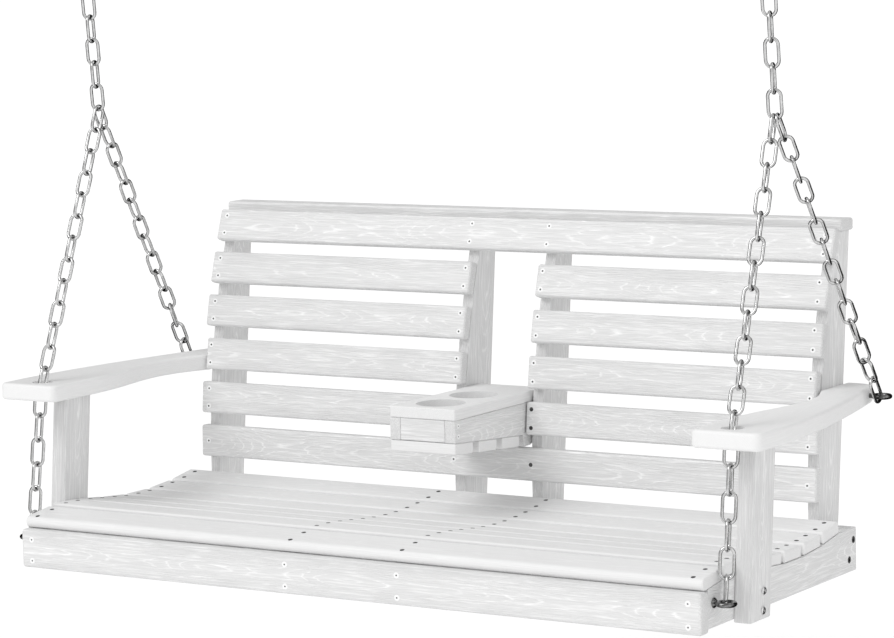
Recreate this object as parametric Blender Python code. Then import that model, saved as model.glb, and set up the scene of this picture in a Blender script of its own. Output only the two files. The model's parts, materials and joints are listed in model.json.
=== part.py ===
"""Porch swing with a fold-down cup-holder console, hung on two Y-shaped chains.

All sizes are in metres. Pieces are modelled in the bench's own coordinates: x = 0 on the
centre line, y = 0 at the apron's front face and growing to the rear, z = 0 at the side
rails' bottom edge. One empty carries the whole bench and another the upper chains, so that
the part's origin ends up on the ceiling line, midway between the two hanger plates. The bench
is turned back a little about the line through the two chain junctions, because an empty
swing hangs that way: its back and console put its centre of mass behind that line.
"""

import math

import bmesh
import bpy
import numpy as np
from mathutils import Matrix, Vector
from mathutils.geometry import interpolate_bezier

GAP = 0.0003
RECLINE = math.radians(5.5)

# Boards
BOARD_T = 0.019
RAIL_T = 0.0375
RAIL_OUTER_X = 0.610
RAIL_INNER_X = RAIL_OUTER_X - RAIL_T
RAIL_REAR_Y = 0.516
RAIL_REAR_TOP_Z = 0.0665
SUPPORT_INNER_X = 0.0825
SUPPORT_OUTER_X = SUPPORT_INNER_X + RAIL_T

APRON_HALF = 0.6125
APRON_T = 0.025
APRON_BOTTOM_Z = -0.006
APRON_TOP_Z = 0.0560
APRON_CORNER_R = 0.005

# Seat: a high front roll, a shallow dip and a rise at the back
SEAT_HALF = RAIL_OUTER_X - 0.0002
SEAT_CREST_Y = 0.085
SEAT_CREST_Z = 0.0850
SEAT_DIP_Y = 0.300
SEAT_DIP_Z = 0.0705
SEAT_REAR_RISE = 0.611
SEAT_SLAT_W = 0.057
SEAT_SLAT_PITCH = 0.0644
SEAT_REAR_SLAT_Y = 0.428
NARROW_SLATS = 6
FRONT_SLAT_FRONT_Y = 0.009
FRONT_SLAT_REAR_Y = 0.0700
FRONT_SLAT_REAR_Z = 0.0823
FRONT_SLAT_SLOPE = 0.13
FRONT_SLAT_NOSE_R = 0.0085

# Back: slats laid on a circular arc that is upright at seat level and leans away above
BACK_ARC_R = 1.184
BACK_ARC_Y = 0.446
BACK_ARC_Z = 0.1008
BACK_SLAT_W = 0.053
BACK_SLAT_PITCH = 0.0742
BACK_LOWEST_ARC = 0.0368
BACK_LEVELS = 6
BACK_HALF = 0.577
ARM_LEVEL = 2
ARM_LEVEL_SHORTER = 0.0056
PANEL_INNER_X = 0.0622
UPRIGHT_T = 0.019
UPRIGHT_OUTER_X = RAIL_INNER_X - GAP
CENTRE_UPRIGHT_INNER_X = SUPPORT_INNER_X - GAP - UPRIGHT_T
UPRIGHT_BOTTOM_Z = 0.004
UPRIGHT_TOP_Z = 0.5174
UPRIGHT_REAR_Y = 0.5260
UPRIGHT_REAR_LEAN = 0.1080
CAP_HALF = 0.577
CAP_REAR_Y = 0.588
CAP_TOP_Z = 0.5367

# Arms and their front posts
ARM_TOP_Z = 0.282
ARM_T = 0.027
ARM_CORNER_R = 0.012
ARM_FRONT_Y = 0.046
ARM_REAR_Y = 0.570
ARM_INNER_X = 0.572
ARM_OUTER_X = 0.684
ARM_HOLE_R = 0.0168
ARM_HOLE_X = 0.6235
ARM_HOLE_Y = 0.0835
POST_T = 0.028
POST_INNER_X = RAIL_OUTER_X + GAP
POST_DEPTH = 0.063
POST_FRONT_Y = 0.1023
POST_LEAN = 0.0979
POST_BOTTOM_Z = -0.005
PLATE_T = 0.003
PLATE_W = 0.020
PLATE_FRONT_Y = 0.108
PLATE_REAR_Y = 0.214
POST_BOLT_R = 0.004
POST_HEAD_R = 0.0062
POST_NUT_R = 0.0070
POST_BOLTS = ((0.1405, 0.0085), (0.1435, 0.0370))

# Console, shown folded down; it turns on two bolts through the centre uprights
CONSOLE_HALF = 0.060
CONSOLE_FRONT_Y = 0.2409
CONSOLE_REAR_Y = 0.515
CONSOLE_TOP_Z = 0.2537
CONSOLE_TOP_T = 0.018
CONSOLE_SIDE_FRONT_Z = 0.2005
CONSOLE_SIDE_SLOPE = 0.0753
CONSOLE_SIDE_STEP_Y = 0.446
CONSOLE_LUG_FRONT_Y = 0.4500
CONSOLE_LUG_REAR_Y = 0.4680
CONSOLE_LUG_Z = 0.1660
CONSOLE_SLAT_T = 0.018
CONSOLE_SLAT_W = 0.053
CONSOLE_SLAT_PITCH = 0.0706
CONSOLE_SLATS = 3
CUP_R = 0.039
CUP_YS = (0.2966, 0.3953)
PIVOT_Y = 0.487
PIVOT_Z = 0.2067
PIVOT_R = 0.004
PIVOT_TAIL_R = 0.040

# Chain
WIRE_R = 0.00235
LINK_W = 0.025
MAIN_LINKS = 5
FRONT_LINKS_ABOVE = 13
FRONT_LINKS_BELOW = 6
REAR_LINKS = 14
CHAIN_X = 0.6163
CHAIN_Y = 0.2452
JUNCTION_Z = 0.7135
MAIN_PITCH = 0.0374
LEG_SIDE_STEP = 0.0027
KINK = (0.6240, 0.0785, 0.2680)

# How far the links are turned about the vertical, in degrees from square: (link number, turn)
UPPER_TURNS = ((0, 12),)
FRONT_TURNS = {"left": ((0, 0), (1, 8)), "right": ((0, 12), (15, 12), (18, 32))}
REAR_TURNS = {
    "left": ((0, 0), (1, -19), (9, -19), (13, -90)),
    "right": ((0, 12), (1, 32), (9, 32), (13, 90)),
}

# Eye bolts
EYE_WIRE_R = 0.00375
EYE_RING_R = 0.01225
EYE_NUT_R = 0.0075
EYE_NUT_T = 0.007
EYE_WASHER_R = 0.010
EYE_WASHER_T = 0.0015
FRONT_EYE = (0.6300, 0.0430, 0.0355)
REAR_EYE = (0.6500, 0.5280, 0.2695)

# Hooks and ceiling hangers
HOOK_WIRE_R = 0.003
HOOK_W = 0.030
HOOK_PITCH = 0.048
HANGER_WIRE_R = 0.0035
HANGER_EYE_W = 0.034
HANGER_PLATE = (0.100, 0.040, 0.005)
HANGER_HOLE_X = 0.036
HANGER_HOLE_R = 0.00325
CEILING_Z = 0.990

# Bevels that ease the sawn edges
SLAT_EDGE = 0.0025
FRAME_EDGE = 0.0015

WHITE = (0.86, 0.86, 0.85, 1.0)
SHADE_WHITE = (0.82, 0.82, 0.82, 1.0)
STEEL = (0.55, 0.55, 0.56, 1.0)
DARK_STEEL = (0.35, 0.35, 0.37, 1.0)


def clear_scene():
    for obj in list(bpy.data.objects):
        bpy.data.objects.remove(obj, do_unlink=True)


def make_material(name, colour, roughness, metallic):
    material = bpy.data.materials.new(name)
    material.use_nodes = True
    shader = material.node_tree.nodes["Principled BSDF"]
    shader.inputs["Base Color"].default_value = colour
    shader.inputs["Roughness"].default_value = roughness
    shader.inputs["Metallic"].default_value = metallic
    return material


def plastic(name, colour=WHITE):
    return make_material(name, colour, 0.5, 0.0)


def steel(name, colour=STEEL):
    return make_material(name, colour, 0.35, 1.0)


def add_object(name, mesh_builder, material, bench, smooth=False):
    mesh = bpy.data.meshes.new(name)
    bmesh.ops.recalc_face_normals(mesh_builder, faces=mesh_builder.faces)
    mesh_builder.to_mesh(mesh)
    mesh_builder.free()
    if smooth:
        mesh.shade_smooth()
        mesh.set_sharp_from_angle(angle=math.radians(40))
    mesh.materials.append(material)
    obj = bpy.data.objects.new(name, mesh)
    bpy.context.scene.collection.objects.link(obj)
    obj.parent = bench
    return obj


def helper(obj):
    obj.hide_render = True
    obj.display_type = "WIRE"
    return obj


def boolean(obj, other, operation):
    modifier = obj.modifiers.new(operation.title(), "BOOLEAN")
    modifier.operation = operation
    modifier.solver = "EXACT"
    modifier.object = helper(other)


def ease_edges(obj, width, segments=1):
    bevel = obj.modifiers.new("Eased edges", "BEVEL")
    bevel.width = width
    bevel.segments = segments
    bevel.limit_method = "ANGLE"
    bevel.angle_limit = math.radians(40)


def box(name, low, high, material, bench):
    builder = bmesh.new()
    bmesh.ops.create_cube(builder, size=1.0)
    size = Vector(high) - Vector(low)
    bmesh.ops.scale(builder, vec=size, verts=builder.verts)
    obj = add_object(name, builder, material, bench)
    obj.location = (Vector(high) + Vector(low)) / 2
    return obj


def tilted_board(name, half_x, centre_yz, width, thickness, slope_angle, material, bench, centre_x=0.0):
    """A board along x whose width lies in the y-z plane at slope_angle above +y."""
    builder = bmesh.new()
    bmesh.ops.create_cube(builder, size=1.0)
    bmesh.ops.scale(builder, vec=(2 * half_x, width, thickness), verts=builder.verts)
    obj = add_object(name, builder, material, bench)
    obj.location = (centre_x, centre_yz[0], centre_yz[1])
    obj.rotation_euler = (slope_angle, 0.0, 0.0)
    return obj


def extrude_outline(name, outline, low, high, axis, material, bench, smooth=False):
    """A flat outline pushed along one axis: (y, z) pairs along x, or (x, y) pairs along z."""
    builder = bmesh.new()
    if axis == "X":
        base = [builder.verts.new((low, a, b)) for a, b in outline]
        step = Vector((high - low, 0, 0))
    else:
        base = [builder.verts.new((a, b, low)) for a, b in outline]
        step = Vector((0, 0, high - low))
    face = builder.faces.new(base)
    pushed = bmesh.ops.extrude_face_region(builder, geom=[face])
    moved = [item for item in pushed["geom"] if isinstance(item, bmesh.types.BMVert)]
    bmesh.ops.translate(builder, vec=step, verts=moved)
    return add_object(name, builder, material, bench, smooth)


def cylinder_builder(radius, length, sides, axis, centre):
    builder = bmesh.new()
    bmesh.ops.create_cone(
        builder, cap_ends=True, segments=sides, radius1=radius, radius2=radius, depth=length
    )
    turn = {
        "X": Matrix.Rotation(math.pi / 2, 4, "Y"),
        "Y": Matrix.Rotation(math.pi / 2, 4, "X"),
        "Z": Matrix.Identity(4),
    }[axis]
    bmesh.ops.transform(builder, matrix=Matrix.Translation(centre) @ turn, verts=builder.verts)
    return builder


def cylinder(name, radius, length, sides, axis, centre, material, bench):
    builder = cylinder_builder(radius, length, sides, axis, centre)
    return add_object(name, builder, material, bench, smooth=sides > 6)


def drill(obj, label, radius, length, axis, centre, material, bench, sides=20):
    boolean(obj, cylinder(label, radius, length, sides, axis, centre, material, bench), "DIFFERENCE")


def arc_points(centre, radius, start, end, steps):
    angles = [math.radians(start + (end - start) * i / steps) for i in range(steps + 1)]
    return [(centre[0] + radius * math.cos(a), centre[1] + radius * math.sin(a)) for a in angles]


def bezier_points(start, handle_a, handle_b, end, steps):
    knots = [Vector((*point, 0.0)) for point in (start, handle_a, handle_b, end)]
    return [(p.x, p.y) for p in interpolate_bezier(*knots, steps + 1)]


# ---------------------------------------------------------------- seat


def seat_top(y):
    """Height of the seat surface, and its slope, at y behind the front roll."""
    if y < SEAT_DIP_Y:
        span = SEAT_DIP_Y - SEAT_CREST_Y
        phase = math.pi * (y - SEAT_CREST_Y) / span
        drop = SEAT_CREST_Z - SEAT_DIP_Z
        height = SEAT_DIP_Z + drop * (1 + math.cos(phase)) / 2
        return height, -drop * math.pi / (2 * span) * math.sin(phase)
    offset = y - SEAT_DIP_Y
    return SEAT_DIP_Z + SEAT_REAR_RISE * offset**2, 2 * SEAT_REAR_RISE * offset


def narrow_slat_places():
    """(y, z, slope) of the middle of each narrow slat's top face, front to rear."""
    places = []
    for i in reversed(range(NARROW_SLATS)):
        y = SEAT_REAR_SLAT_Y - i * SEAT_SLAT_PITCH
        places.append((y, *seat_top(y)))
    return places


def rail_outline(rear_y):
    """Side view of a rail: flat seats for the slats along its top, level along its bottom."""
    clearance = BOARD_T + GAP
    front_run = FRONT_SLAT_REAR_Y - APRON_T
    top = [
        (APRON_T + GAP, FRONT_SLAT_REAR_Z - FRONT_SLAT_SLOPE * front_run - clearance),
        (FRONT_SLAT_REAR_Y + 0.001, FRONT_SLAT_REAR_Z - clearance),
    ]
    for y, z, slope in narrow_slat_places():
        half = SEAT_SLAT_W / 2
        top.append((y - half, z - slope * half - clearance))
        top.append((y + half, z + slope * half - clearance))
    top.append((rear_y, RAIL_REAR_TOP_Z))
    return [(APRON_T + GAP, 0.0)] + top + [(rear_y, 0.0)]


def front_slat_outline():
    """Side view of the wide front slat, with a rounded nose."""
    slope = math.atan(FRONT_SLAT_SLOPE)
    along = Vector((math.cos(slope), math.sin(slope)))
    up = Vector((-along.y, along.x))
    rear_top = Vector((FRONT_SLAT_REAR_Y, FRONT_SLAT_REAR_Z))
    width = (FRONT_SLAT_REAR_Y - FRONT_SLAT_FRONT_Y) / math.cos(slope)
    radius = FRONT_SLAT_NOSE_R
    local = [(0.0, 0.0)]
    local += arc_points((-width + radius, -radius), radius, 90, 180, 4)
    local += arc_points((-width + radius, -BOARD_T + radius), radius, 180, 270, 4)
    local += [(0.0, -BOARD_T)]
    return [tuple(rear_top + along * a + up * b) for a, b in local]


def add_seat(bench):
    white = plastic("seat_plastic")
    frame_white = plastic("frame_plastic", SHADE_WHITE)

    apron = box(
        "front_apron",
        (-APRON_HALF, 0.0, APRON_BOTTOM_Z),
        (APRON_HALF, APRON_T, APRON_TOP_Z),
        plastic("front_apron_plastic"),
        bench,
    )
    ease_edges(apron, APRON_CORNER_R, 2)

    rails = {
        "side_rail_left": (-RAIL_OUTER_X, -RAIL_INNER_X),
        "seat_support_left": (-SUPPORT_OUTER_X, -SUPPORT_INNER_X),
        "seat_support_right": (SUPPORT_INNER_X, SUPPORT_OUTER_X),
        "side_rail_right": (RAIL_INNER_X, RAIL_OUTER_X),
    }
    made = {}
    for name, (low, high) in rails.items():
        made[name] = extrude_outline(
            name, rail_outline(RAIL_REAR_Y), low, high, "X", frame_white, bench
        )
    for side, sign in (("left", -1), ("right", 1)):
        rail = made["side_rail_" + side]
        middle = sign * (RAIL_OUTER_X + RAIL_INNER_X) / 2
        eye = (middle, FRONT_EYE[1], FRONT_EYE[2])
        drill(rail, "cut_eye_" + side, EYE_WIRE_R + GAP, 0.08, "X", eye, frame_white, bench)
        for i, (y, z) in enumerate(POST_BOLTS):
            label = f"cut_rail_bolt_{side}_{i}"
            hole_r = POST_BOLT_R + GAP
            drill(rail, label, hole_r, 0.08, "X", (middle, y, z), frame_white, bench, sides=12)

    front = extrude_outline(
        "seat_slat_1", front_slat_outline(), -SEAT_HALF, SEAT_HALF, "X", white, bench, smooth=True
    )
    ease_edges(front, FRAME_EDGE)
    for i, (y, z, slope) in enumerate(narrow_slat_places()):
        angle = math.atan(slope)
        centre = (y + math.sin(angle) * BOARD_T / 2, z - math.cos(angle) * BOARD_T / 2)
        slat = tilted_board(
            f"seat_slat_{i + 2}", SEAT_HALF, centre, SEAT_SLAT_W, BOARD_T, angle, white, bench
        )
        ease_edges(slat, SLAT_EDGE)


# ---------------------------------------------------------------- back


def back_point(arc_length, depth):
    """(y, z) on the back's arc, depth behind the slats' front faces, and the lean there."""
    lean = arc_length / BACK_ARC_R
    radius = BACK_ARC_R - depth
    y = BACK_ARC_Y + BACK_ARC_R - radius * math.cos(lean)
    z = BACK_ARC_Z + radius * math.sin(lean)
    return y, z, lean


def upright_front_y(z):
    """Front edge of an upright: the arc of the slats' back faces, straight below it."""
    radius = BACK_ARC_R - BOARD_T - GAP
    rise = max(z - BACK_ARC_Z, 0.0)
    return BACK_ARC_Y + BACK_ARC_R - math.sqrt(radius**2 - rise**2)


def upright_outline():
    steps = 10
    heights = [UPRIGHT_BOTTOM_Z]
    heights += [BACK_ARC_Z + (UPRIGHT_TOP_Z - BACK_ARC_Z) * i / steps for i in range(steps + 1)]
    # Between two points the edge is a chord, which lies behind the arc, clear of the slats.
    front = [(upright_front_y(z) + 0.0004, z) for z in heights]
    rear = [
        (UPRIGHT_REAR_Y + UPRIGHT_REAR_LEAN * z, z) for z in (UPRIGHT_TOP_Z, UPRIGHT_BOTTOM_Z)
    ]
    return front + rear


def add_uprights(bench):
    material = plastic("upright_plastic", SHADE_WHITE)
    centre_outer_x = CENTRE_UPRIGHT_INNER_X + UPRIGHT_T
    outer_inner_x = UPRIGHT_OUTER_X - UPRIGHT_T
    spans = {
        "upright_left_outer": (-UPRIGHT_OUTER_X, -outer_inner_x),
        "upright_left_centre": (-centre_outer_x, -CENTRE_UPRIGHT_INNER_X),
        "upright_right_centre": (CENTRE_UPRIGHT_INNER_X, centre_outer_x),
        "upright_right_outer": (outer_inner_x, UPRIGHT_OUTER_X),
    }
    for name, (low, high) in spans.items():
        upright = extrude_outline(name, upright_outline(), low, high, "X", material, bench)
        middle = (low + high) / 2
        if "centre" in name:
            place = (middle, PIVOT_Y, PIVOT_Z)
            radius = PIVOT_R + GAP
        else:
            place = (middle, REAR_EYE[1], REAR_EYE[2])
            radius = EYE_WIRE_R + GAP
        drill(upright, "cut_" + name, radius, 0.05, "X", place, material, bench)


def add_back_slat(name, level, low_x, high_x, material, bench):
    y, z, lean = back_point(BACK_LOWEST_ARC + level * BACK_SLAT_PITCH, BOARD_T / 2)
    slat = tilted_board(
        name,
        (high_x - low_x) / 2,
        (y, z),
        BACK_SLAT_W,
        BOARD_T,
        math.pi / 2 - lean,
        material,
        bench,
        centre_x=(low_x + high_x) / 2,
    )
    ease_edges(slat, SLAT_EDGE)


def add_back(bench):
    material = plastic("back_slat_plastic")
    top_level = BACK_LEVELS - 1
    add_back_slat("back_slat_bottom", 0, -BACK_HALF, BACK_HALF, material, bench)
    add_back_slat("back_slat_top", top_level, -BACK_HALF, BACK_HALF, material, bench)
    for level in range(1, top_level):
        outer = BACK_HALF - (ARM_LEVEL_SHORTER if level == ARM_LEVEL else 0.0)
        row = BACK_LEVELS - level
        add_back_slat(f"back_slat_left_{row}", level, -outer, -PANEL_INNER_X, material, bench)
        add_back_slat(f"back_slat_right_{row}", level, PANEL_INNER_X, outer, material, bench)
    slat_top = back_point(BACK_LOWEST_ARC + top_level * BACK_SLAT_PITCH + BACK_SLAT_W / 2, BOARD_T)
    cap = box(
        "back_cap",
        (-CAP_HALF, slat_top[0] + 0.0008, UPRIGHT_TOP_Z + GAP),
        (CAP_HALF, CAP_REAR_Y, CAP_TOP_Z),
        plastic("back_cap_plastic"),
        bench,
    )
    ease_edges(cap, SLAT_EDGE)


# ---------------------------------------------------------------- arms


def arm_outline(sign):
    """Plan of an arm: wide and rounded in front, drawn in to pass outside the upright."""
    contact_x = UPRIGHT_OUTER_X + GAP
    tail = 0.030
    outer_end = (0.6265, 0.540)
    inner_front = (ARM_INNER_X + ARM_CORNER_R, ARM_FRONT_Y + ARM_CORNER_R)
    outer_front = (ARM_OUTER_X - ARM_CORNER_R, ARM_FRONT_Y + ARM_CORNER_R)
    points = arc_points(inner_front, ARM_CORNER_R, 180, 270, 3)
    points += arc_points(outer_front, ARM_CORNER_R, 270, 360, 4)
    points += bezier_points((ARM_OUTER_X, 0.070), (0.693, 0.215), (0.656, 0.405), outer_end, 12)[1:]
    points += bezier_points(
        outer_end, (0.6235, 0.558), (0.615, ARM_REAR_Y), (0.6265 - tail, ARM_REAR_Y), 4
    )[1:]
    points += [(contact_x, ARM_REAR_Y)]
    points += bezier_points((contact_x, 0.4725), (0.580, 0.455), (0.600, 0.415), (0.600, 0.365), 6)
    points += bezier_points(
        (0.600, 0.365), (0.600, 0.300), (ARM_INNER_X + 0.001, 0.240), (ARM_INNER_X, 0.150), 7
    )[1:]
    return [(sign * x, y) for x, y in points]


def add_arms(bench):
    arm_white = plastic("arm_plastic")
    post_white = plastic("post_plastic", SHADE_WHITE)
    plate_steel = steel("plate_steel", DARK_STEEL)
    bottom_z = ARM_TOP_Z - ARM_T
    for side, sign in (("left", -1), ("right", 1)):
        arm = extrude_outline(
            "arm_" + side, arm_outline(sign), bottom_z, ARM_TOP_Z, "Z", arm_white, bench, smooth=True
        )
        hole = (sign * ARM_HOLE_X, ARM_HOLE_Y, ARM_TOP_Z)
        drill(arm, "cut_chain_" + side, ARM_HOLE_R, 0.08, "Z", hole, arm_white, bench, sides=24)
        tunnel = (sign * (UPRIGHT_OUTER_X + 0.03), REAR_EYE[1], REAR_EYE[2])
        drill(arm, "cut_arm_eye_" + side, EYE_WIRE_R + GAP, 0.09, "X", tunnel, arm_white, bench)

        top_z = bottom_z - PLATE_T - 2 * GAP
        outline = []
        for z in (POST_BOTTOM_Z, top_z):
            outline.append((POST_FRONT_Y + POST_LEAN * (z - POST_BOTTOM_Z), z))
        for z in (top_z, POST_BOTTOM_Z):
            outline.append((POST_FRONT_Y + POST_DEPTH + POST_LEAN * (z - POST_BOTTOM_Z), z))
        xs = sorted((sign * POST_INNER_X, sign * (POST_INNER_X + POST_T)))
        post = extrude_outline("arm_post_" + side, outline, *xs, "X", post_white, bench)
        ease_edges(post, FRAME_EDGE)
        for i, (y, z) in enumerate(POST_BOLTS):
            middle = (sign * (POST_INNER_X + POST_T / 2), y, z)
            label = f"cut_post_bolt_{side}_{i}"
            drill(post, label, POST_BOLT_R + GAP, 0.06, "X", middle, post_white, bench, sides=12)

        middle_x = sign * (POST_INNER_X + POST_T / 2)
        box(
            "arm_plate_" + side,
            (middle_x - PLATE_W / 2, PLATE_FRONT_Y, top_z + GAP),
            (middle_x + PLATE_W / 2, PLATE_REAR_Y, top_z + GAP + PLATE_T),
            plate_steel,
            bench,
        )


# ---------------------------------------------------------------- console


def console_side_z(y):
    """Bottom edge of the console's side boards, which drops slightly to the rear."""
    return CONSOLE_SIDE_FRONT_Z - CONSOLE_SIDE_SLOPE * (y - CONSOLE_FRONT_Y)


def console_side_outline():
    """Side view of a side board: a tapered box wall with a rounded tail round the pivot."""
    top_z = CONSOLE_TOP_Z - CONSOLE_TOP_T - GAP
    lug_depth = (CONSOLE_LUG_REAR_Y - PIVOT_Y, CONSOLE_LUG_Z - PIVOT_Z)
    start = math.degrees(math.atan2(lug_depth[1], lug_depth[0])) + 8
    top_angle = math.degrees(math.asin((top_z - PIVOT_Z) / PIVOT_TAIL_R))
    tail = arc_points((PIVOT_Y, PIVOT_Z), PIVOT_TAIL_R, start, top_angle, 8)
    return [
        (CONSOLE_FRONT_Y, top_z),
        (CONSOLE_FRONT_Y, CONSOLE_SIDE_FRONT_Z),
        (CONSOLE_SIDE_STEP_Y, console_side_z(CONSOLE_SIDE_STEP_Y)),
        (CONSOLE_LUG_FRONT_Y, CONSOLE_LUG_Z),
        (CONSOLE_LUG_REAR_Y, CONSOLE_LUG_Z),
    ] + tail


def add_console(bench):
    hinge = add_frame("console_hinge", (0.0, PIVOT_Y, PIVOT_Z), parent=bench)
    carried = []
    white = plastic("console_plastic")

    top = box(
        "console_top",
        (-CONSOLE_HALF, CONSOLE_FRONT_Y, CONSOLE_TOP_Z - CONSOLE_TOP_T),
        (CONSOLE_HALF, CONSOLE_REAR_Y, CONSOLE_TOP_Z),
        white,
        bench,
    )
    ease_edges(top, FRAME_EDGE)
    for i, y in enumerate(CUP_YS):
        cutter = cylinder(f"cut_cup_{i}", CUP_R, 0.08, 40, "Z", (0.0, y, CONSOLE_TOP_Z), white, bench)
        boolean(top, cutter, "DIFFERENCE")
        carried.append(cutter)
    carried.append(top)

    inner_x = CONSOLE_HALF - BOARD_T
    for side, sign in (("left", -1), ("right", 1)):
        xs = sorted((sign * inner_x, sign * CONSOLE_HALF))
        name = "console_side_" + side
        board = extrude_outline(name, console_side_outline(), *xs, "X", white, bench)
        place = (sign * (inner_x + BOARD_T / 2), PIVOT_Y, PIVOT_Z)
        cutter = cylinder("cut_" + name, PIVOT_R + GAP, 0.05, 20, "X", place, white, bench)
        boolean(board, cutter, "DIFFERENCE")
        carried += [board, cutter]

    front_bottom = CONSOLE_SIDE_FRONT_Z + GAP
    front = box(
        "console_front",
        (-inner_x + GAP, CONSOLE_FRONT_Y, front_bottom),
        (inner_x - GAP, CONSOLE_FRONT_Y + BOARD_T, CONSOLE_TOP_Z - CONSOLE_TOP_T - GAP),
        white,
        bench,
    )
    carried.append(front)

    angle = -math.atan(CONSOLE_SIDE_SLOPE)
    drop = CONSOLE_SLAT_T / 2 + GAP
    for i in range(CONSOLE_SLATS):
        y = CONSOLE_FRONT_Y + CONSOLE_SLAT_W / 2 + i * CONSOLE_SLAT_PITCH
        centre = (y, console_side_z(y) - drop)
        slat = tilted_board(
            f"console_slat_{i + 1}",
            CONSOLE_HALF,
            centre,
            CONSOLE_SLAT_W,
            CONSOLE_SLAT_T,
            angle,
            white,
            bench,
        )
        ease_edges(slat, FRAME_EDGE)
        carried.append(slat)

    bpy.context.view_layer.update()
    for obj in carried:
        obj.parent = hinge
        obj.location = obj.location - hinge.location

    pivot_steel = steel("pivot_steel")
    for side, sign in (("left", -1), ("right", 1)):
        head = (inner_x - 0.0045, inner_x - 2 * GAP)
        nut_low = CENTRE_UPRIGHT_INNER_X + UPRIGHT_T + GAP
        profile = [
            (0.0065, head[0]),
            (0.0065, head[1]),
            (PIVOT_R, head[1]),
            (PIVOT_R, nut_low),
            (0.0070, nut_low),
            (0.0070, nut_low + 0.006),
        ]
        turned("console_pivot_" + side, profile, sign, (PIVOT_Y, PIVOT_Z), pivot_steel, bench)


def turned(name, profile, sign, centre_yz, material, bench, sides=12):
    """A solid turned about a line along x; profile lists (radius, x) from one end to the other."""
    builder = bmesh.new()
    rings = []
    for radius, x in profile:
        ring = []
        for k in range(sides):
            angle = 2 * math.pi * k / sides
            y = centre_yz[0] + radius * math.cos(angle)
            z = centre_yz[1] + radius * math.sin(angle)
            ring.append(builder.verts.new((sign * x, y, z)))
        rings.append(ring)
    for lower, upper in zip(rings, rings[1:]):
        for k in range(sides):
            after = (k + 1) % sides
            builder.faces.new((lower[k], lower[after], upper[after], upper[k]))
    builder.faces.new(rings[0])
    builder.faces.new(rings[-1])
    return add_object(name, builder, material, bench, smooth=True)


# ---------------------------------------------------------------- chain and hardware


def add_ring_of_wire(builder, path, wire_r, sides=4):
    """Adds a closed tube along a flat closed loop of points."""
    count = len(path)
    normal = (path[1] - path[0]).cross(path[2] - path[1])
    for i in range(2, count):
        if normal.length > 1e-9:
            break
        normal = (path[i] - path[i - 1]).cross(path[(i + 1) % count] - path[i])
    normal.normalize()
    rings = []
    for i, point in enumerate(path):
        before = (point - path[i - 1]).normalized()
        after = (path[(i + 1) % count] - point).normalized()
        tangent = (before + after).normalized()
        outward = tangent.cross(normal).normalized()
        stretch = 1.0 / max(before.dot(tangent), 0.5)
        ring = []
        for k in range(sides):
            angle = 2 * math.pi * k / sides
            offset = outward * (math.cos(angle) * wire_r * stretch) + normal * (math.sin(angle) * wire_r)
            ring.append(builder.verts.new(point + offset))
        rings.append(ring)
    for i in range(count):
        ring, following = rings[i], rings[(i + 1) % count]
        for k in range(sides):
            after = (k + 1) % sides
            builder.faces.new((ring[k], ring[after], following[after], following[k]))


def link_loop(start, end, across, width, wire_r, overlap, bow_steps=3):
    """Centre line of one link whose inner ends lie at start and end."""
    along = (end - start).normalized()
    across = (across - along * across.dot(along)).normalized()
    reach = wire_r - overlap
    radius = (width - 2 * wire_r) / 2
    apothem = radius * math.cos(math.pi / (2 * bow_steps)) if bow_steps % 2 else radius
    first = start - along * (reach - apothem)
    last = end + along * (reach - apothem)
    loop = []
    for i in range(bow_steps + 1):
        angle = math.pi * i / bow_steps
        loop.append(first + across * (radius * math.cos(angle)) - along * (radius * math.sin(angle)))
    for i in range(bow_steps + 1):
        angle = math.pi * i / bow_steps
        loop.append(last - across * (radius * math.cos(angle)) + along * (radius * math.sin(angle)))
    return loop


def turn_at(turns, index):
    """The turn of one link, in radians, from a short table of (link number, degrees)."""
    numbers, degrees = zip(*turns)
    return math.radians(float(np.interp(index, numbers, degrees)))


def run_of_links(stations, first_across, turns):
    """(start, end, across) of each link along straight stretches between the stations."""
    links = []
    index = 0
    for start, end, count in stations:
        step = (end - start) / count
        for i in range(count):
            quarter = math.pi / 2 if index % 2 else 0.0
            turn = Matrix.Rotation(turn_at(turns, index) + quarter, 3, "Z")
            links.append((start + step * i, start + step * (i + 1), turn @ first_across))
            index += 1
    return links


def add_chain(name, links, material, bench, first_clearance=0.0, last_clearance=0.0):
    """A run of interlocked links, odd and even ones joined where they bear on each other."""
    overlap = 0.0004
    builders = (bmesh.new(), bmesh.new())
    for i, (start, end, across) in enumerate(links):
        along = (end - start).normalized()
        if i == 0:
            start = start - along * (first_clearance + overlap)
        if i == len(links) - 1:
            end = end + along * (last_clearance + overlap)
        loop = link_loop(start, end, across, LINK_W, WIRE_R, overlap)
        add_ring_of_wire(builders[i % 2], loop, WIRE_R)
    chain = add_object(name, builders[0], material, bench, smooth=True)
    if builders[1].verts:
        boolean(chain, add_object("join_" + name, builders[1], material, bench, smooth=True), "UNION")
    return chain


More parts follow.
